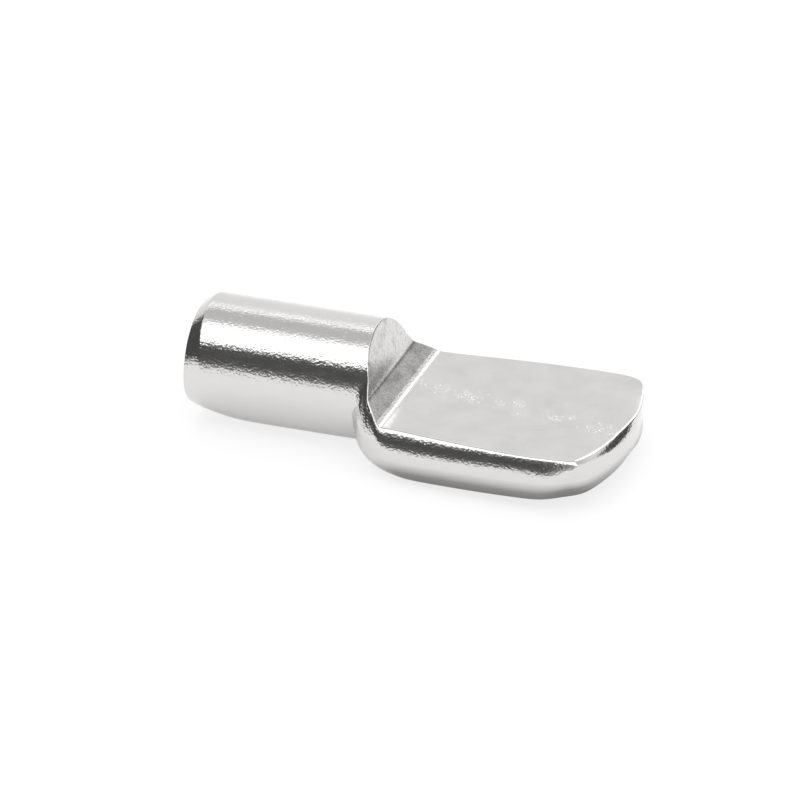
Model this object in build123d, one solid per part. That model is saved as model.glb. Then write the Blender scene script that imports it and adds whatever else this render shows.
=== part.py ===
from build123d import *
from math import acos, atan2, cos, degrees, pi, sin, sqrt
import os

# A shelf support pin pressed from one length of round wire.
# The pin's axis is X. The plane X = 0 is where the blade starts to spread and stops
# against the cabinet side: the pin runs to -X into its hole, the blade reaches to +X.

# Driving sizes, millimetres
pin_diameter = 5.0
pin_length = 7.0
end_edge_radius = 0.4
rollover_run = 1.9
rollover_rise = 0.6

blade_reach = 11.2
root_thickness = 2.2
tip_thickness = 1.6
seat_drop = 0.2
root_width = 7.2
middle_width = 7.9
tip_width = 7.6
rim_radius = 1.55
tip_radius = 9.2
tip_rim_radius = 1.3
tip_rim_drop = 0.75
corner_size = 1.3

flare_length = 2.4
crest_x = 0.5
root_x = 1.75
knee_run = 0.75
knee_rise = 0.7
root_fillet = 0.35

# Shares: where the flare's sections stand along its run, how far each has spread,
# and how far each leans, so that the metal spreads sooner below than above
flare_run_shares = (0, 0.33, 0.67, 1)
flare_spread_shares = (0, 0.22, 0.68, 1)
flare_lean_shares = (0, 0.1, 0.13, 0)
middle_share = 0.5
arc_top_share = 0.6
corner_turn_share = 0.75
corner_lead_share = 0.4

# Worked out from the driving sizes
pin_radius = pin_diameter / 2
half_thickness = root_thickness / 2
rim_z = -seat_drop - half_thickness
underside_z = -seat_drop - root_thickness
rim_inset = sqrt(rim_radius**2 - half_thickness**2)
rim_angle = acos(half_thickness / rim_radius)
arc_top = rim_angle * arc_top_share
arc_low = pi - rim_angle
arc_middle = (arc_top + arc_low) / 2
tip_axis_x = blade_reach - tip_radius
stock_x = blade_reach + rim_radius
middle_x = flare_length + middle_share * (blade_reach - flare_length)


def section(x, width, spread, lean):
    """Face across the blank at x: the wire's circle, spread out toward the blade's barrelled bar."""
    radius = pin_radius + spread * (rim_radius - pin_radius)
    centre_y = spread * (width / 2 - rim_inset)
    centre_z = spread * rim_z
    low_z = spread * underside_z - (1 - spread) * pin_radius

    def leaning(y, z):
        return Vector(x - lean * (pin_radius - z), y, z)

    def on_side(angle, way):
        return leaning(way * (centre_y + radius * sin(angle)), centre_z + radius * cos(angle))

    top = Edge.make_three_point_arc(on_side(arc_top, -1), leaning(0, pin_radius), on_side(arc_top, 1))
    near = Edge.make_three_point_arc(on_side(arc_top, 1), on_side(arc_middle, 1), on_side(arc_low, 1))
    far = Edge.make_three_point_arc(on_side(arc_low, -1), on_side(arc_middle, -1), on_side(arc_top, -1))
    if spread < 1:
        low = Edge.make_three_point_arc(on_side(arc_low, 1), leaning(0, low_z), on_side(arc_low, -1))
    else:
        low = Edge.make_line(on_side(arc_low, 1), on_side(arc_low, -1))
    return Face(Wire([top, near, low, far]))


# The round pin: its cut end is rounded over, and rolled up below where the shear bit
pin = Pos(-pin_length / 2, 0, 0) * Rot(0, 90, 0) * Cylinder(pin_radius, pin_length)
pin = fillet(pin.edges().sort_by(Axis.X)[0], end_edge_radius)
rollover_angle = degrees(atan2(rollover_rise, rollover_run))
rollover_x = -pin_length + rollover_run
rolled = Pos(rollover_x, 0, 0) * Rot(0, 90 + rollover_angle, 0) * Cylinder(pin_radius, 2 * pin_length)
end_block = Pos(rollover_x - rollover_run / 2, 0, 0) * Box(rollover_run, pin_diameter, 2 * pin_diameter)
pin = pin - (end_block - rolled)

# The blank: the wire spread from the pin's circle into the blade's bar
flare = loft(
    [
        section(run * flare_length, root_width, spread, lean)
        for run, spread, lean in zip(flare_run_shares, flare_spread_shares, flare_lean_shares)
    ]
)
bar = loft(
    [
        section(flare_length, root_width, 1, 0),
        section(middle_x, middle_width, 1, 0),
        section(stock_x, tip_width, 1, 0),
    ]
)

body = pin + flare + bar

# The die presses the seat flat and leaves the shoulder: a steep upper facet,
# a slacker lower one and a fillet along the root
knee_x = root_x - knee_run
knee_z = knee_rise - seat_drop
die_top = 2 * pin_diameter
die_back_x = knee_x + (crest_x - knee_x) * (die_top - knee_z) / (pin_radius - knee_z)
with BuildSketch(Plane.XZ) as die_face:
    with BuildLine():
        Polyline(
            (stock_x + rim_radius, -seat_drop),
            (root_x, -seat_drop),
            (knee_x, knee_z),
            (die_back_x, die_top),
            (stock_x + rim_radius, die_top),
            close=True,
        )
    make_face()
    fillet(die_face.vertices().sort_by_distance((root_x, 0, -seat_drop))[0], root_fillet)
body = body - extrude(die_face.sketch, amount=2 * middle_width, both=True)

# Its lower half thins the blade toward the tip
taper = (root_thickness - tip_thickness) / (blade_reach - flare_length)
with BuildSketch(Plane.XZ) as lower_face:
    with BuildLine():
        Polyline(
            (flare_length, underside_z),
            (stock_x + rim_radius, underside_z + taper * (stock_x + rim_radius - flare_length)),
            (stock_x + rim_radius, -die_top),
            (flare_length, -die_top),
            close=True,
        )
    make_face()
body = body - extrude(lower_face.sketch, amount=2 * middle_width, both=True)

# The trimming die bows the blade's end and leaves it barrelled, tucked under a little
trim_x = blade_reach - tip_rim_radius
trim_z = -seat_drop - tip_rim_drop
with BuildSketch(Plane.XZ) as trim_face:
    with BuildLine():
        ThreePointArc(
            (trim_x, trim_z + tip_rim_radius),
            (blade_reach, trim_z),
            (trim_x, trim_z - tip_rim_radius),
        )
        Polyline(
            (trim_x, trim_z - tip_rim_radius),
            (stock_x + rim_radius, trim_z - tip_rim_radius),
            (stock_x + rim_radius, trim_z + tip_rim_radius),
            (trim_x, trim_z + tip_rim_radius),
        )
    make_face()
tip_axis = Axis((tip_axis_x, 0, 0), (0, 0, 1))
trim = revolve(trim_face.sketch, tip_axis, 90)
body = body - Pos(tip_axis_x, 0, 0) * Rot(0, 0, -45) * Pos(-tip_axis_x, 0, 0) * trim

# It also rounds the two corners where the barrelled rims stand out furthest; the cut
# leads in from outside the rims, so that no sliver of them is left standing
side_y = middle_width / 2 + rim_radius - rim_inset
corner_y = side_y - corner_size
corner_x = tip_axis_x + sqrt(tip_radius**2 - corner_y**2)
lead = corner_lead_share * corner_size
lead_x = corner_x - corner_size - lead * corner_turn_share
lead_y = side_y + lead * (1 - corner_turn_share)
with BuildSketch() as corner_face:
    with BuildLine():
        TangentArc(
            (corner_x - corner_size, side_y),
            (blade_reach, corner_y),
            tangent=(corner_turn_share, corner_turn_share - 1),
        )
        Polyline(
            (blade_reach, corner_y),
            (blade_reach, lead_y),
            (lead_x, lead_y),
            (corner_x - corner_size, side_y),
        )
    make_face()
corner = extrude(corner_face.sketch, amount=die_top, both=True)
shelf_pin = body - corner - mirror(corner, Plane.XZ)

os.makedirs("parts", exist_ok=True)
export_step(shelf_pin, "parts/shelf_pin.step")
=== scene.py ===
# %% [markdown]
# # A shelf support pin in bright nickel
# A shelf support pin is a short length of steel wire with one half left round and the other half pressed
# flat. The round half goes into a hole in the cabinet's side and the shelf lies on the flat half. This
# lesson dresses the exact solid of that pin with the softer edges, the fine grain and the wear of a real,
# nickel plated one, and then lights it like a small product picture.

# %% The fixed frame
import bpy
import numpy as np
from mathutils import Matrix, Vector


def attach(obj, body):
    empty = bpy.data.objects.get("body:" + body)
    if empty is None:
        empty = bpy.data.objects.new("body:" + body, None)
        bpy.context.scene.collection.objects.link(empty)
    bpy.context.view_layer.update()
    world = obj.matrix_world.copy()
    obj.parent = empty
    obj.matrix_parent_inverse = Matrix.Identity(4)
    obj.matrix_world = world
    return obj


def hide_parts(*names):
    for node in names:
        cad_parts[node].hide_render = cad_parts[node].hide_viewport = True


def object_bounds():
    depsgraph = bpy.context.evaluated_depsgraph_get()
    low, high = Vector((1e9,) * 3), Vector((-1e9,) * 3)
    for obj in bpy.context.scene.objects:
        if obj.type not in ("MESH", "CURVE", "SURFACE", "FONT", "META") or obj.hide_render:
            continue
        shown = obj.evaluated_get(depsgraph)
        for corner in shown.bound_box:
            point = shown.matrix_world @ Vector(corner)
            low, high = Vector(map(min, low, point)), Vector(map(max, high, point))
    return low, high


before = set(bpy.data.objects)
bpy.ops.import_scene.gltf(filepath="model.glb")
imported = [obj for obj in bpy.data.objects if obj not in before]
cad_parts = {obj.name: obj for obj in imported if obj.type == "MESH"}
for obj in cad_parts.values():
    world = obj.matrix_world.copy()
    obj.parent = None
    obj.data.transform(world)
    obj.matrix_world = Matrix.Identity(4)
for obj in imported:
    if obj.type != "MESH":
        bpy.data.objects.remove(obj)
cad_box = [list(corner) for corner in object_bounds()]
print("solid's box in millimetres", np.round(np.array(cad_box) * 1000, 2).tolist())

# %% [markdown]
# ## Sizes
# All shapes below are worked out in millimetres, with the pin's axis along X and the seat facing up, and
# they are turned into metres only when a mesh is made. The sizes are those of the solid.

# %% Sizes
MM = 0.001
PIN_R, PIN_END = 2.5, -7.0
FLARE, SEAT_Z = 2.4, -0.2
RIM_R, RIM_ANGLE = 1.55, np.radians(45.8)
CREST_X, KNEE_X, KNEE_Z, ROOT_X = 0.5, 1.0, 0.5, 1.75
ARCH_X = 0.8
TIP_AXIS, TIP_R = 2.0, 9.2
print("pin", 2 * PIN_R, "mm across, from x =", PIN_END, "and tip at x =", TIP_AXIS + TIP_R)

# %% [markdown]
# ## The blank: a wire that spreads into a bar
# Before the seat is pressed, think of the metal as a round wire whose sides move apart and turn into the
# barrelled rims of the blade. Each point of this skin has a place x along the pin and an angle phi, counted
# from the top round to the bottom. A lofted curve could carry the sections, but a formula lets the lower
# metal spread sooner than the upper metal, which makes the step under the pin and the long S on its side.

# %% The bar's width and thickness
WIDTH_X, HALF_WIDTHS = (2.4, 6.8, 12.75), (3.6, 3.95, 3.8)
ROOT_THICK, THINNING, BLADE_RUN = 2.2, 0.6, 8.8
RIM_LOSS = 0.15


def smooth(t):
    """Smooth step from 0 to 1: three t squared minus two t cubed."""
    t = np.clip(t, 0, 1)
    return t * t * (3 - 2 * t)


def seat_half(x):
    """Half the seat's width: a parabola through the half widths at the root, the middle and the tip."""
    return np.polyval(np.polyfit(WIDTH_X, HALF_WIDTHS, 2), np.maximum(x, FLARE))


def underside(x):
    """Height of the blade's underside: it climbs evenly toward the tip, so the blade thins."""
    return SEAT_Z - ROOT_THICK + THINNING * np.clip((x - FLARE) / BLADE_RUN, 0, 1)


def rim_radius(x):
    """Radius of the barrelled rim: it shrinks toward the tip by a smooth step, as the blade thins."""
    return RIM_R - RIM_LOSS * smooth((x - 2.5) / 8.5)


print("blade thins from", ROOT_THICK, "to", round(float(SEAT_Z - underside(TIP_AXIS + TIP_R)), 2), "mm")

# %% The skin of the blank
SQUARING = 0.14


def spread(x, phi):
    """Share of the spreading done at x: 1 - (1 - t)^2 to a power, where t runs from 0 to 1 along the flare.
    From the upper side to the underside the flare starts sooner, takes longer and sets in more sharply."""
    side, low = smooth((phi - 0.9) / 0.9), smooth((phi - 1.8) / 0.8)
    t = np.clip((x - 0.98 + 0.7 * side) / (0.9 + 1.3 * side + 1.2 * low), 0, 1)
    return (1 - (1 - t) ** 2) ** (1 - 0.3 * side - 0.1 * low)


def skin(x, phi):
    """(y, z) of the blank's skin: a circle whose centre, radius and height go from the wire's to the rim's.
    Toward the tip the rim's circle squares up a little: its sine and cosine get a power below 1."""
    k, rim = spread(x, phi), rim_radius(x)
    power = 1 - SQUARING * smooth((x - 3) / 6)
    sine = np.abs(np.sin(phi)) ** power
    cosine = np.sign(np.cos(phi)) * np.abs(np.cos(phi)) ** power
    r = PIN_R + k * (rim - PIN_R)
    centre_y = k * (seat_half(x) - rim * np.sin(RIM_ANGLE))
    centre_z = k * (SEAT_Z - rim * np.cos(RIM_ANGLE))
    return centre_y + r * sine, centre_z + r * cosine


print("blade's half width at its middle", round(float(skin(WIDTH_X[1], np.pi / 2)[0]), 2))

# %% [markdown]
# ## The die and the line where it stops
# The pressing die has a flat for the seat, a slack facet, a steeper facet and then air. Where the die's
# surface meets the blank's skin there is a crisp edge: an arch over the pin, which then runs on along both
# sides of the seat. A boolean cut would find the same edge and leave ragged faces along it, so both
# stretches are found by halving an interval instead, for all points at once.


# %% The die's profile and its edge
def die(x):
    """Height of the die over x: straight runs from above the crest to the knee, the root and the seat."""
    steep = (PIN_R - KNEE_Z) / (KNEE_X - CREST_X)
    return np.interp(x, (0, KNEE_X, ROOT_X, 20), (KNEE_Z + steep * KNEE_X, KNEE_Z, SEAT_Z, SEAT_Z))


def halve(below, low, high):
    """The place between low and high where below turns false, after forty halvings of the interval."""
    for _ in range(40):
        middle = (low + high) / 2
        inside = below(middle)
        low, high = np.where(inside, middle, low), np.where(inside, high, middle)
    return (low + high) / 2


def arch_x(phi):
    """x of the arch at each angle: where the falling die passes under the skin."""
    start = np.zeros_like(phi)
    return halve(lambda x: skin(x, phi)[1] < die(x), start + 0.2, start + KNEE_X)


def edge_angle(x):
    """Angle of the seat's edge at x: where the skin has sunk to the die's height."""
    start = np.zeros_like(x)
    return halve(lambda phi: skin(x, phi)[1] > die(x), start, start + 2.0)


corner_phi = edge_angle(np.array(ARCH_X))
print("the seat's edge leaves the arch at", round(float(np.degrees(corner_phi)), 1), "degrees from the top")

# %% Where the rim ends below
LOW_PHI = np.radians(135)


def low_angle(x):
    """Angle where the rim gives way to the underside: fixed on the pin, then set by the blade's thickness."""
    down = np.arccos(np.clip((underside(x) - SEAT_Z) / rim_radius(x) + np.cos(RIM_ANGLE), -1, 1))
    k = smooth((x - 0.3) / FLARE)
    return (1 - k) * LOW_PHI + k * down


print("the blade's rim ends at", round(float(np.degrees(low_angle(WIDTH_X[1]))), 1), "degrees from the top")

# %% [markdown]
# ## One grid over the whole pin
# The mesh is one tube of rows and columns, closed by a patch at each end. A row runs round the pin, from
# the middle of the top, over the edge, down the side and to the middle of the underside, and is mirrored.
# A column runs from the pin's end to the tip. The rows bend so that one of them lies on the arch: a row
# just before it and one just after hold the edge sharp when the mesh is subdivided. Cutting a solid mesh
# would leave ragged triangles here, and bright metal shows every one of them.

# %% Columns and rows of the grid
top_share = np.array([0, 0.12, 0.24, 0.36, 0.48, 0.6, 0.71, 0.81, 0.89, 0.945, 0.972, 1])
side_share = np.array([0.05, 0.12, 0.21, 0.32, 0.43, 0.54, 0.65, 0.76, 0.88, 1])
low_share = np.linspace(0, 1, len(top_share))[1:]
K, J = len(top_share) - 1, len(side_share)

end_rows = np.array([0, 0.07, 0.22, 0.45, 0.7, 0.9])[:, None]
pin_stations = np.array([
    -6.18, -5.95, -5.6, -5.2, -4.4, -3.4, -2.4, -1.5, -0.8, -0.3,
    0, 0.17, 0.27, 0.37, 0.5, 0.61, 0.69, 0.738,
])
facet_rows = np.array([0.1, 0.22, 0.4, 0.62, 0.82, 1])[:, None]
slack_rows = np.array([0.15, 0.34, 0.55, 0.7, 0.82, 1])[:, None]
blade_rows = np.array([
    0.02, 0.05, 0.1, 0.16, 0.25, 0.34, 0.43, 0.52,
    0.61, 0.7, 0.78, 0.85, 0.91, 0.955, 0.988, 1,
])[:, None]

arch_phi = top_share * corner_phi
arch = arch_x(arch_phi)
print("arch runs from x =", round(float(arch[0]), 2), "to", round(float(arch[-1]), 2))

# %% [markdown]
# ## The round half
# The pin is the skin before the arch. Its cut end has a bevel, deeper above than below and longer at the
# sides, and the lower side of the end is rolled up a little, as a shear leaves it. A bevel modifier would
# give the same width all round, so the bevel is part of the formula.

# %% The pin's shape
END_RUN, END_WIDER, END_DROP, UNDER_DROP = 0.45, 0.3, 0.34, 0.25
ROLL_X, ROLL_SLOPE = -5.1, 0.26
pin_phi = np.concatenate([
    arch_phi,
    corner_phi + (LOW_PHI - corner_phi) * side_share,
    LOW_PHI + (np.pi - LOW_PHI) * low_share,
])
end_run = END_RUN + END_WIDER * np.sin(pin_phi) ** 2


def under_rows(x, share):
    """Underside points: the skin's lower arc and a flat between the rims, mixed by the spread so far."""
    low = low_angle(x)
    phi = low + (np.pi - low) * share
    k = spread(x, np.pi)
    y_edge, z_edge = skin(x, low)
    y_arc, z_arc = skin(x, phi)
    y_middle = skin(x, np.pi)[0]
    y = (1 - k) * (y_arc - share * y_middle) + k * y_edge * (1 - share)
    z = (1 - k) * z_arc + k * z_edge
    return y, z


def pin_grid(x, drawn_in):
    """Pin points: the skin from top to low angle, then the underside. The cut end is drawn in, more above
    than below, by a share of the drop. The roll lifts it in proportion to its length and to its depth
    below the axis."""
    y, z = skin(x[:, : K + 1 + J], pin_phi[: K + 1 + J])
    y_low, z_low = under_rows(x[:, K + 1 + J :], low_share)
    upper = (1 + np.cos(pin_phi)) / 2
    radial = 1 - drawn_in * END_DROP / PIN_R * (UNDER_DROP + (1 - UNDER_DROP) * upper)
    y, z = np.concatenate([y, y_low], 1) * radial, np.concatenate([z, z_low], 1) * radial
    roll = ROLL_SLOPE * np.maximum(ROLL_X - x, 0) * np.clip(-z / PIN_R, 0, 1)
    return np.stack([x, y, z + roll], -1)


print("bevel of the cut end runs over", np.round([end_run.min(), end_run.max()], 2).tolist(), "mm")

# %% The pin's rows
END_LIP = (1, 0.97, 0.97)
stop_x = np.concatenate([arch, np.full(J + K, arch[-1])])
start_x = PIN_END + end_run
first_x = start_x.max()
pin_rows = np.concatenate([[first_x], pin_stations[pin_stations > first_x], [arch[-1]]])[:, None]
pin_rows = (pin_rows - first_x) / (arch[-1] - first_x)
barrel = pin_grid(start_x + pin_rows * (stop_x - start_x), 0.0)
rounded = pin_grid(PIN_END + end_run * end_rows, (1 - end_rows) ** 1.1)
rounded = np.concatenate([rounded[:1] * END_LIP, rounded])
print("pin rows", len(rounded) + len(barrel))

# %% [markdown]
# ## The shoulder and the blade
# Past the arch the top columns leave the skin and lie on the die. The side columns start at the edge and go
# down the barrelled rim, and the low columns close the underside. At the tip every column stops on its own
# end line: the tip is an arc of a circle in plan, with a fine bevel above, and it tucks under below. A loft
# through a few sections would round the crisp edge away, so every row is put in its exact place.

# %% The blade's shape
TIP_BEVEL, BEVEL_FOOT = 0.06, 0.38
TUCK, TUCK_TOP, TUCK_RUN = 0.35, 0.9, 0.7


def tip_x(y, z):
    """x of the tip's surface: a circle in plan, whose radius is less along the upper bevel and below, where
    the end tucks under."""
    depth = SEAT_Z - z
    bevel = TIP_BEVEL * np.clip(1 - depth / BEVEL_FOOT, 0, 1) ** 1.3
    tuck = TUCK * np.clip((depth - TUCK_TOP) / TUCK_RUN, 0, 1) ** 2
    return TIP_AXIS + np.sqrt(np.maximum((TIP_R - bevel - tuck) ** 2 - y**2, 0))


def blade_grid(x_top, x_side, x_low, y_top):
    """Blade points: the top on the die, the sides from the edge angle to the low angle, and the underside."""
    edge, low = edge_angle(x_side[:, :1]), low_angle(x_side)
    y_edge = skin(x_side[:, :1], edge)[0]
    top = np.stack([x_top, y_top * y_edge, die(x_top)], -1)
    y, z = skin(x_side[:, 1:], edge + (low[:, 1:] - edge) * side_share)
    side = np.stack([x_side[:, 1:], y, z], -1)
    y_low, z_low = under_rows(x_low, low_share)
    return np.concatenate([top, side, np.stack([x_low, y_low, z_low], -1)], 1)


print("tip reaches x =", round(float(tip_x(0.0, -1.0)), 2))

# %% The shoulder's rows
arch_y = skin(arch, arch_phi)[0] / skin(arch[-1], corner_phi)[0]
shoulder_top = np.concatenate([
    arch + facet_rows * (KNEE_X - arch),
    KNEE_X + slack_rows * (ROOT_X - KNEE_X) + 0 * arch,
])
shoulder_side = shoulder_top[:, -1:]
settling = np.linspace(0, 1, len(shoulder_top) + 1)[1:, None]
shoulder = blade_grid(
    shoulder_top,
    shoulder_side + np.zeros(J + 1),
    shoulder_side + np.zeros(K),
    arch_y + settling * (top_share - arch_y),
)
print("shoulder rows", len(shoulder))

# %% The blade's rows
RIM_X = 10.0
rim_edge = edge_angle(np.array(RIM_X))
rim_phi = rim_edge + (low_angle(RIM_X) - rim_edge) * np.append(0, side_share)
rim_y, rim_z = skin(RIM_X, rim_phi)
stop_top = tip_x(top_share * seat_half(RIM_X), SEAT_Z)
stop_side = tip_x(rim_y, rim_z)
stop_low = tip_x(rim_y[-1] * (1 - low_share), rim_z[-1])
blade = blade_grid(
    ROOT_X + blade_rows * (stop_top - ROOT_X),
    ROOT_X + blade_rows * (stop_side - ROOT_X),
    ROOT_X + blade_rows * (stop_low - ROOT_X),
    top_share + 0 * blade_rows,
)
half = np.concatenate([rounded, barrel, shoulder, blade])
half[:, 0, 1] = 0
half[:, -1, 1] = 0
print("rows and half columns", half.shape[:2])

# %% [markdown]
# ## Closing the ends
# The half rows are mirrored into rings. Each end is closed by a patch of quads whose border is the ring, so
# that no fan of thin triangles meets at a pole. The pin's end is filled from its border; the tip's patch
# follows the tip's own surface.

# %% Rings and end patches
N = 2 * K + J
rings = np.concatenate([half, half[:, N - 1 : 0 : -1] * (1, -1, 1)], 1)
across = np.arange(-K, K + 1)
down = np.arange(1, J)


def border(ring):
    """The ring's four runs as seen by an end patch: top, underside, and both sides."""
    return ring[across % (2 * N)], ring[N - across], ring[K + down], ring[2 * N - K - down]


def filled(ring, v):
    """Patch between four borders at the shares v: the two straight blends less the blend of the corners."""
    top, low, right, left = border(ring)
    u = (across[1:-1, None] / K + 1) / 2
    v = v[:, None, None]
    blend_v = (1 - v) * top[1:-1] + v * low[1:-1]
    blend_u = (1 - u) * left[:, None] + u * right[:, None]
    corners = (1 - v) * ((1 - u) * top[0] + u * top[-1]) + v * ((1 - u) * low[0] + u * low[-1])
    return blend_v + blend_u - corners


pin_cap = filled(rings[0], np.append(side_share[:-2], 0.965))
tip_cap = filled(rings[-1], side_share[:-1])
tip_side = border(rings[-1])[2]
off_side = tip_side[:, 0] - tip_x(tip_side[:, 1], tip_side[:, 2])
tip_cap[..., 0] = tip_x(tip_cap[..., 1], tip_cap[..., 2])
tip_cap[..., 0] += np.abs(across[1:-1] / K) ** 6 * off_side[:, None]
print("points in the two end patches", pin_cap.shape[:2], tip_cap.shape[:2])

# %% [markdown]
# ## Wear at the tip
# The trimming die and handling leave the tip a little uneven: its corners are drawn in, the near half of
# the end has a wider bevel that starts in a point at the corner, and the far half is squarer. It could be
# sculpted by hand, but here each mark is a small push along x, y or z that a formula gives for every point,
# so it can be made stronger or weaker by one number.

# %% The marks of wear
CORNER_RUN, BEND_RUN = 1.3, 2.7
CORNER_IN = (-0.215, -0.357)
BEVEL, STEP_IN, STEP_OUT = 0.19, 0.1, 0.3
BENT, LIFTED, ROLLED = 0.22, 0.12, 0.05


def near_corner(x, y, z, run):
    """Two shares that fall evenly from 1 at the tip's corner to 0: along the side and along the tip."""
    levels = rim_z[::-1]
    along = 1 - (np.interp(z, levels, stop_side[::-1]) - x) / run
    over = 1 - (np.interp(z, levels, rim_y[::-1]) - np.abs(y)) / run
    return np.clip(along, 0, 1), np.clip(over, 0, 1)


def end_wear(y, depth, far):
    """How far the end is set back. On the near half it is a bevel: a power of the height over its foot. On
    the far half it is a smooth step in at middle height and a smooth step out again below."""
    foot = 0.1 + 0.3 * smooth((y + 3.3) / 2.2)
    bevel = BEVEL * np.clip(1 - depth / foot, 0, 1) ** 1.3 * (1 - smooth((y + 1.2) / 3.2))
    return bevel + far * (STEP_IN * smooth(depth / 0.5) - STEP_OUT * smooth((depth - 0.95) / 0.65))


def tip_worn(p):
    """Points of the worn tip. The corners are drawn in by powers of the two shares, the near edge of the seat
    bends in the same way over a longer run, the end is set back by its wear, and the seat's far end rolls
    down by a power of the nearness to the tip."""
    x, y, z = p.T
    near, far = y < 0, smooth((y - 0.3) / 1.8)
    depth, from_tip = SEAT_Z - z, tip_x(y, z) - x
    along, over = near_corner(x, y, z, CORNER_RUN)
    at_seat, power = np.where(near, 0.05, 0.55), np.where(near, 2, 4)
    pull = (at_seat + (1 - at_seat) * smooth((depth - 0.1) / 0.9)) * (along * over) ** power
    lifted = LIFTED * near * along * over * smooth((depth - 0.8) / 0.6)
    along, over = near_corner(x, y, z, BEND_RUN)
    bent = BENT * near * (along * over) ** 2 * (1 - smooth(depth / 1.1))
    set_back = end_wear(y, depth, far) * smooth(1 - from_tip / 1.2)
    rolled = ROLLED * far * (1 - smooth((y - 2.2) / 1.2)) * smooth(1 - depth / 0.9)
    rolled *= np.clip(1 - from_tip / 0.5, 0, 1) ** 1.6
    x = x + pull * CORNER_IN[0] - set_back
    y = y + pull * CORNER_IN[1] * np.sign(y) + bent
    return np.stack([x, y, z - rolled + lifted], 1)


smooth_points = np.concatenate([rings.reshape(-1, 3), pin_cap.reshape(-1, 3), tip_cap.reshape(-1, 3)])
points = tip_worn(smooth_points)
print("deepest wear in millimetres", round(float(np.linalg.norm(points - smooth_points, axis=1).max()), 2))

# %% [markdown]
# ## Making the mesh
# The rings and both patches become one closed mesh of quads, and its volume tells whether the faces point
# outwards: it is close to the solid's, and it would be below zero if they pointed in. A subdivision
# surface then rounds every edge by the spacing of the rows.

# %% Faces
rows, inner = len(rings), (J - 1) * (2 * K - 1)
ring_index = np.arange(rows * 2 * N).reshape(rows, 2 * N)


def patch_faces(ring, first, outward):
    """Quads of an end patch: its border's indices round a block of new ones that starts at first."""
    grid = np.empty((J + 1, 2 * K + 1), int)
    grid[0], grid[J], grid[down, 2 * K], grid[down, 0] = border(ring)
    grid[1:J, 1:-1] = first + np.arange(inner).reshape(J - 1, 2 * K - 1)
    quads = np.stack([grid[:-1, :-1], grid[:-1, 1:], grid[1:, 1:], grid[1:, :-1]], -1).reshape(-1, 4)
    return quads if outward else quads[:, ::-1]


after = np.roll(ring_index, -1, 1)
tube_faces = np.stack([ring_index[:-1], after[:-1], after[1:], ring_index[1:]], -1).reshape(-1, 4)
faces = np.concatenate([
    tube_faces[:, ::-1],
    patch_faces(ring_index[0], rows * 2 * N, True),
    patch_faces(ring_index[-1], rows * 2 * N + inner, False),
])
quad = points[faces]
volume = np.einsum("ij,ij->i", quad[:, 0], np.cross(quad[:, 1], quad[:, 2])).sum()
volume += np.einsum("ij,ij->i", quad[:, 0], np.cross(quad[:, 2], quad[:, 3])).sum()
print("control faces", len(faces), "volume in cubic millimetres", round(volume / 6, 1))

# %% The pin's mesh
mesh = bpy.data.meshes.new("shelf_pin_skin")
mesh.from_pydata(points * MM, [], faces)
mesh.polygons.foreach_set("use_smooth", np.ones(len(faces), bool))
pin = bpy.data.objects.new("nickel_pin", mesh)
bpy.context.collection.objects.link(pin)
rounding = pin.modifiers.new("rounding", "SUBSURF")
rounding.levels = rounding.render_levels = 2
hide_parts("shelf_pin")
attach(pin, "root")
print("mesh points", len(mesh.vertices))

# %% [markdown]
# ## Marks for the finish and the painted shade
# The finish differs from place to place: streaks on the pressed facets, scuffs on the seat, and painted shade
# round the blade's lower edge, a dark band that stands for the reflected shadow under the blade. Painted masks
# would need an image, so three point attributes say where each place is, straight from the rows and columns.

# %% Where the facets, the seat and the lower edge lie
row_of = np.concatenate([np.repeat(np.arange(rows), 2 * N), np.full(2 * inner, -1)])
column_of = np.concatenate([np.tile(np.arange(2 * N), rows), np.full(2 * inner, -1)])
from_top = np.minimum(column_of, 2 * N - column_of)
on_top = (from_top <= K) & (column_of >= 0)
first_shoulder = len(rounded) + len(barrel)
first_blade = first_shoulder + len(shoulder)
on_facets = on_top & (row_of >= first_shoulder - 1) & (row_of < first_blade - 1)
on_seat = on_top & (row_of >= first_blade)
# The under mark is painted shade: it darkens the blade's lower edge to stand for the reflection of the shadow
# beneath it.
low_by_share = smooth((np.append(0, side_share) - 0.52) / 0.3)
lowness = np.interp(from_top, np.arange(K, K + J + 1), low_by_share)
lowness[-inner:] = np.repeat(low_by_share[1:J], 2 * K - 1)
shade_under_blade = lowness * smooth((points[:, 0] - 1.2) / 1.5)
for name, mark in (("facets", on_facets), ("seat", on_seat), ("under", shade_under_blade)):
    mesh.attributes.new(name, "FLOAT", "POINT").data.foreach_set("value", mark.astype(np.float32))
mesh.update()
mesh.validate()
print("points on the facets and on the seat", int(on_facets.sum()), int(on_seat.sum()))

# %% [markdown]
# ## Bright nickel
# Nickel plate is a warm, light grey mirror. The wire's drawn skin under it leaves a fine grain that breaks
# up the edges of every reflection, with a slow ripple beneath. The pressed shoulder keeps streaks down its
# slope and small dark pits, the shelf has rubbed a sparkling line along the seat, and the blade's lower
# edge is darkened by painted shade that stands for the reflected shadow under the blade. All of it is noise on
# Object coordinates, so nothing slides when the part is moved.


# %% The nickel and its marks
def node(tree, kind, sockets, output=0, **settings):
    """Adds a shader node, with plain values or other nodes' outputs for its sockets; returns one output."""
    made = tree.nodes.new("ShaderNode" + kind)
    for name, value in settings.items():
        setattr(made, name, value)
    for name, value in sockets.items():
        if isinstance(value, bpy.types.NodeSocket):
            tree.links.new(value, made.inputs[name])
        else:
            made.inputs[name].default_value = value
    return made.outputs[output]


nickel = bpy.data.materials.new("bright_nickel")
nickel.use_nodes = True
plate = nickel.node_tree
place = node(plate, "TexCoord", {}, "Object")
facets = node(plate, "Attribute", {}, "Fac", attribute_name="facets")
seat = node(plate, "Attribute", {}, "Fac", attribute_name="seat")
under = node(plate, "Attribute", {}, "Fac", attribute_name="under")
print("the nickel reads", [mark.node.attribute_name for mark in (facets, seat, under)])


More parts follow.
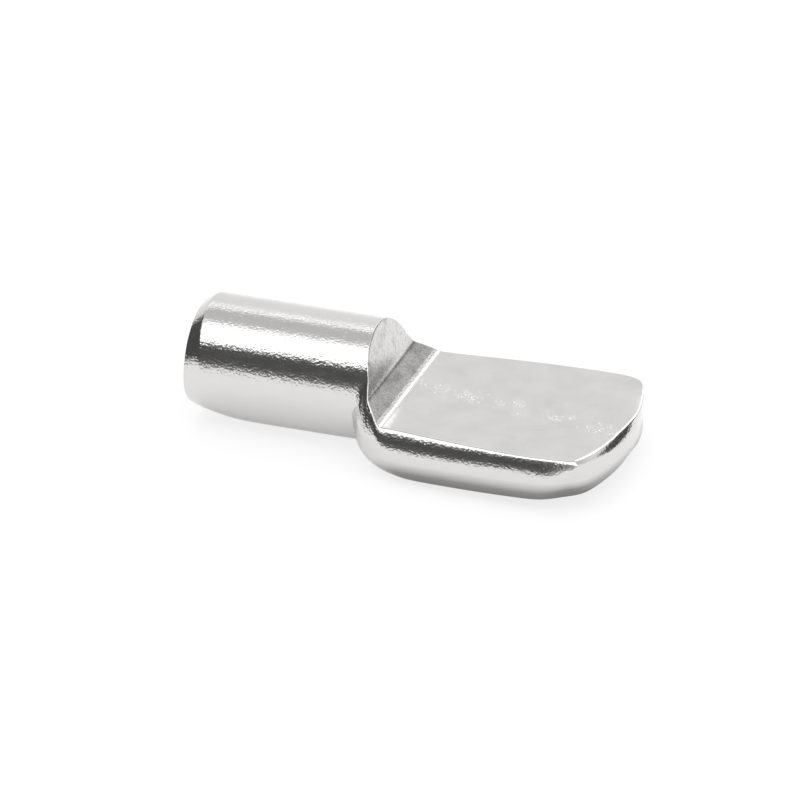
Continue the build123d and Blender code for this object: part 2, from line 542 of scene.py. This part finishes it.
# %% Noises of the nickel
def noise(scale, detail, stretch=(1, 1, 1)):
    """Noise on Object coordinates: scale counts the waves in a metre, and stretch squeezes each axis."""
    where = node(plate, "Mapping", {"Vector": place, "Scale": stretch})
    return node(plate, "TexNoise", {"Vector": where, "Scale": scale, "Detail": detail, "Roughness": 0.5})


GRAIN_WAVES = 10500
grain = noise(GRAIN_WAVES, 1.0)
ripple = noise(2600, 1.0)
streaks = noise(2500, 3.0, (1, 5, 1))
smudges = noise(1300, 3.0)
scuffs = noise(5200, 3.0, (0.45, 1.3, 1))
clouds = noise(700, 3.0)
pits = noise(7500, 2.0, (1, 1.6, 1))
print("the grain's waves are", round(1 / (GRAIN_WAVES * MM), 3), "mm long")

# %% [markdown]
# ### The relief of the plate
# The grain stands highest on the round pin and the rims, is calmer on the pressed facets, and nearly
# vanishes on the seat, except along the rubbed line. The root of the shoulder, where the mark of the facets
# fades, is the roughest place. So fine a relief would need millions of faces as geometry, so three bumps
# carry it: the ripple, the grain and the streaks.

# %% Where the grain is coarse
RUB_Y, RUB_SLOPE = 0.85 * MM, 0.16


def calc(tree, operation, *values):
    """One Math node on one, two or three values."""
    return node(tree, "Math", dict(enumerate(values)), operation=operation)


def change(tree, value, low, high, start=0.0, stop=1.0, way="LINEAR"):
    """Change from start to stop as the value goes from low to high, even or smooth."""
    return node(tree, "MapRange", {0: value, 1: low, 2: high, 3: start, 4: stop}, interpolation_type=way)


def axes(tree, vector):
    """A vector's x, y and z, each as an output of its own."""
    made = tree.nodes.new("ShaderNodeSeparateXYZ")
    tree.links.new(vector, made.inputs[0])
    return list(made.outputs)


along_pin, across_pin = axes(plate, place)[:2]
rub_line = calc(plate, "MULTIPLY_ADD", along_pin, RUB_SLOPE, -RUB_Y)
off_rub = calc(plate, "ABSOLUTE", calc(plate, "ADD", across_pin, rub_line))
rubbed = change(plate, off_rub, 0.2 * MM, 1.3 * MM, 1.0, 0.0)
rubbed = calc(plate, "MULTIPLY", rubbed, change(plate, smudges, 0.42, 0.62))
calm = calc(plate, "MULTIPLY", seat, change(plate, rubbed, 0.0, 1.0, 0.88, -1.2))
calm = calc(plate, "MULTIPLY_ADD", facets, 0.6, calm)
at_root = calc(plate, "MULTIPLY", facets, calc(plate, "SUBTRACT", 1.0, facets))
coarse = calc(plate, "MULTIPLY_ADD", at_root, 4.0, calc(plate, "SUBTRACT", 1.0, calm))
print("the rubbed line crosses the root at y =", round(RUB_Y / MM - RUB_SLOPE * ROOT_X, 2), "mm")

# %% The relief of the plate
RIPPLE_TALL, GRAIN_TALL, STREAK_TALL = 0.004 * MM, 0.011 * MM, 0.002 * MM


def bumped(height, tall, **below):
    """A bump of the given height in metres, over another bump where there is one."""
    return node(plate, "Bump", {"Height": height, "Distance": tall, "Strength": 1.0, **below})


relief = bumped(ripple, RIPPLE_TALL)
relief = bumped(calc(plate, "MULTIPLY", grain, coarse), GRAIN_TALL, Normal=relief)
relief = bumped(calc(plate, "MULTIPLY", streaks, facets), STREAK_TALL, Normal=relief)
print("the grain stands", round(GRAIN_TALL / MM, 3), "mm tall and the ripple", round(RIPPLE_TALL / MM, 3), "mm")

# %% [markdown]
# ### Colour and shine
# The colour goes from clean nickel to a dark grey. On the blade's lower edge this is painted shade, which
# stands for the reflected shadow under the blade. In the pits and smudges of the facets and in faint clouds on
# the seat it is tarnish. The pressed facets are less shiny than the rest. One metal with a share of tarnish and
# painted shade keeps all of these alike, where several materials would show their borders.

# %% Colour and shine
CLEAN, TARNISH_AND_SHADE = (0.665, 0.657, 0.645, 1), (0.2, 0.195, 0.19, 1)
worn = calc(plate, "MULTIPLY", change(plate, smudges, 0.5, 0.72, 0.0, 0.45), facets)
worn = calc(plate, "MULTIPLY_ADD", change(plate, pits, 0.56, 0.7, 0.0, 0.5), facets, worn)
dulled = calc(plate, "MULTIPLY", seat, change(plate, clouds, 0.4, 0.75, 0.0, 0.14))
# The dark share is painted shade on the blade's lower edge (under), plus tarnish from the facets' pits and
# smudges and the seat's clouds.
tarnish_and_shade = calc(plate, "ADD", calc(plate, "MULTIPLY_ADD", under, 0.9, worn), dulled)
colour = node(plate, "Mix", {0: tarnish_and_shade, 6: CLEAN, 7: TARNISH_AND_SHADE}, 2, data_type="RGBA")
shine = change(plate, scuffs, 0.35, 0.75, 0.1, 0.2)
shine = calc(plate, "MULTIPLY_ADD", facets, 0.14, shine)

metal = plate.nodes["Principled BSDF"]
plate.links.new(colour, metal.inputs["Base Color"])
plate.links.new(shine, metal.inputs["Roughness"])
plate.links.new(relief, metal.inputs["Normal"])
metal.inputs["Metallic"].default_value = 1.0
mesh.materials.append(nickel)
print("nodes in the nickel", len(plate.nodes))

# %% [markdown]
# ## The studio
# Bright metal has hardly any colour of its own, so the picture is made by what stands round it: a white
# sweep behind, a large soft box overhead and toward the camera, a dark room in front, and a white table.
# Lamps and cards of mesh could stand there, but the world can hold them all as bands of grey by direction.
# The bands follow the lean of a direction: its angle from straight up, counted toward the camera.

# %% Bands of light and dark
world = bpy.data.worlds.new("studio")
bpy.context.scene.world = world
world.use_nodes = True
sky = world.node_tree
wx, wy, wz = axes(sky, node(sky, "TexCoord", {}, "Generated"))
lean = calc(sky, "ARCTAN2", calc(sky, "MULTIPLY", wy, -1.0), wz)
turn = calc(sky, "MULTIPLY_ADD", lean, 1 / (2 * np.pi), 0.5)
BANDS = [
    (-180, 1.0), (-50, 1.0), (-34, 1.0), (-28, 0.7), (0, 0.7), (13, 2.2), (40, 2.2),
    (47, 0.13), (66, 0.09), (82, 0.13), (92, 0.5), (96, 1.0), (180, 1.0),
]


def banded(value, stops):
    """A colour ramp of grey stops, each an angle in degrees from -180 to 180 and its grey."""
    made = sky.nodes.new("ShaderNodeValToRGB")
    sky.links.new(value, made.inputs[0])
    elements = made.color_ramp.elements
    for _ in stops[2:]:
        elements.new(0.5)
    for element, (degrees, grey) in zip(elements, stops):
        element.position = (degrees + 180) / 360
    for element, (degrees, grey) in zip(elements, stops):
        element.color = (grey, grey, grey, 1)
    return made.outputs[0]


bands = banded(turn, BANDS)
print("bands of the studio", len(BANDS))

# %% [markdown]
# ### Strip, card and dark flanks
# A narrow strip light draws the fine bright line along the top of the pin, a white card behind it lights the
# root of the shoulder, and the dark front is paler to the right, where the near rim turns to the tip. Two
# dark flanks, at the left and at the far right, give the pin's cut end and the tip their dark bands. Each is
# a product of smooth steps in x, y and z, which leaves its border soft.


# %% Strip, card and flanks
def between(value, low, high, start=0.0, stop=1.0):
    """Smooth change from start to stop as the value goes from low to high."""
    return change(sky, value, low, high, start, stop, "SMOOTHSTEP")


def product(first, *others):
    """All the values multiplied together."""
    for other in others:
        first = calc(sky, "MULTIPLY", first, other)
    return first


def lit_by(light, more):
    """A light with more light added."""
    return node(sky, "VectorMath", {0: light, 1: more}, operation="ADD")


FRONT_LIGHT, STRIP_LIGHT, CARD_LIGHT, FLANK = 0.55, 1.3, 1.5, (0.08, 0.08, 0.08, 1)
STRIP_SLANT, STRIP_LEAN = 0.87, 0.924
front = product(between(wx, -0.1, 0.25, 0.0, FRONT_LIGHT), change(sky, wy, -0.3, -0.6))
strip_lean = calc(sky, "MULTIPLY_ADD", wx, STRIP_SLANT, STRIP_LEAN)
strip = between(calc(sky, "ABSOLUTE", calc(sky, "ADD", lean, strip_lean)), 0.01, 0.06, STRIP_LIGHT, 0.0)
card = product(between(wx, -0.2, -0.1), between(wx, 0.12, 0.26, 1.0, 0.0))
card = product(card, between(wz, 0.4, 0.46), between(wy, 0.6, 0.7), CARD_LIGHT)
light = lit_by(lit_by(lit_by(bands, front), strip), card)

left = product(between(wx, -0.62, -0.42, 1.0, 0.0), between(wz, 0.5, 0.65, 1.0, 0.0))
left = product(left, between(wy, 0.3, 0.5, 1.0, 0.0))
right = product(between(wx, 0.22, 0.56), between(wy, 0.4, 0.65), between(wz, 0.4, 0.5, 1.0, 0.0))
flanks = product(calc(sky, "ADD", left, right), between(wz, -0.03, 0.03))
room = node(sky, "Mix", {0: flanks, 6: light, 7: FLANK}, 2, data_type="RGBA")
background = sky.nodes["Background"]
sky.links.new(room, background.inputs["Color"])
background.inputs["Strength"].default_value = 1.0
print("nodes in the studio", len(sky.nodes))

# %% [markdown]
# ## The table
# The table is a plain white sheet just under the pin. A plain white paint would turn grey away from the lamp,
# so what the camera sees is mostly an even glow, and what the nickel reflects is partly one. The rest is
# real shading, so the pin keeps a soft shadow.

# %% The table
SHEET = 0.4
floor_z = cad_box[0][2]
sheet_mesh = bpy.data.meshes.new("table")
sheet_corners = np.array([(-1, -1, 0), (1, -1, 0), (1, 1, 0), (-1, 1, 0)]) * SHEET + (0, 0, floor_z)
sheet_mesh.from_pydata(sheet_corners, [], [(0, 1, 2, 3)])
table = bpy.data.objects.new("table", sheet_mesh)
bpy.context.collection.objects.link(table)

paper = bpy.data.materials.new("white_sheet")
paper.use_nodes = True
sheet = paper.node_tree
sheet.nodes.clear()
CAMERA_SHARE, MIRROR_SHARE = 0.8, 0.4
by_camera, by_mirror = (node(sheet, "LightPath", {}, ray) for ray in ("Is Camera Ray", "Is Glossy Ray"))
seen = calc(sheet, "MULTIPLY", by_camera, CAMERA_SHARE)
seen = calc(sheet, "MULTIPLY_ADD", by_mirror, MIRROR_SHARE, seen)
diffuse = node(sheet, "BsdfDiffuse", {"Color": (0.92, 0.92, 0.92, 1)})
glow = node(sheet, "Emission", {"Color": (1, 1, 1, 1), "Strength": 1.0})
output = sheet.nodes.new("ShaderNodeOutputMaterial")
sheet.links.new(node(sheet, "MixShader", {0: seen, 1: diffuse, 2: glow}), output.inputs["Surface"])
sheet_mesh.materials.append(paper)
print("table at", round(floor_z * 1000, 2), "mm")

# %% [markdown]
# ## The lamp over the table
# One soft box over the table lights the sheet and gives the pin its shadow. Mirror rays don't see it,
# because the world already holds what the nickel should reflect.

# %% The lamp over the table
soft_box = bpy.data.lights.new("soft_box", "AREA")
soft_box.size = 0.3
soft_box.energy = 0.35
lamp = bpy.data.objects.new("soft_box", soft_box)
lamp.location = (-0.05, 0.12, 0.35)
lamp.visible_glossy = False
bpy.context.collection.objects.link(lamp)
print("soft box of", round(soft_box.size, 2), "m with", round(soft_box.energy, 2), "W")

# %% [markdown]
# ## The camera
# The picture was taken with a long lens from in front and a little to the right, about 27 degrees above the
# table. A short lens close by would make the tip look larger than the pin's end, so the camera stands half
# a metre away. It looks at a point just right of and below the frame's origin.

# %% The camera
AZIMUTH, ELEVATION, DISTANCE, VIEW_WIDTH = np.radians(19.52), np.radians(26.9), 0.5, 31.94 * MM
LOOK_RIGHT, LOOK_UP = 1.307 * MM, -0.903 * MM
ahead = np.cos(ELEVATION)
right_way = np.array([np.cos(AZIMUTH), np.sin(AZIMUTH), 0])
sight = np.array([-np.sin(AZIMUTH) * ahead, np.cos(AZIMUTH) * ahead, -np.sin(ELEVATION)])
up_way = np.cross(right_way, sight)
target = LOOK_RIGHT * right_way + LOOK_UP * up_way

lens = bpy.data.cameras.new("long_lens")
lens.sensor_width = 36
lens.lens = lens.sensor_width * DISTANCE / VIEW_WIDTH
lens.clip_start, lens.clip_end = 0.01, 10
camera = bpy.data.objects.new("camera", lens)
bpy.context.collection.objects.link(camera)
turned = np.eye(4)
turned[:3, :3] = np.stack([right_way, up_way, -sight], 1)
turned[:3, 3] = target - sight * DISTANCE
camera.matrix_world = Matrix(turned.tolist())
bpy.context.scene.camera = camera
bpy.context.scene.view_settings.view_transform = "Standard"
print("lens of", round(lens.lens), "mm at", DISTANCE, "m")
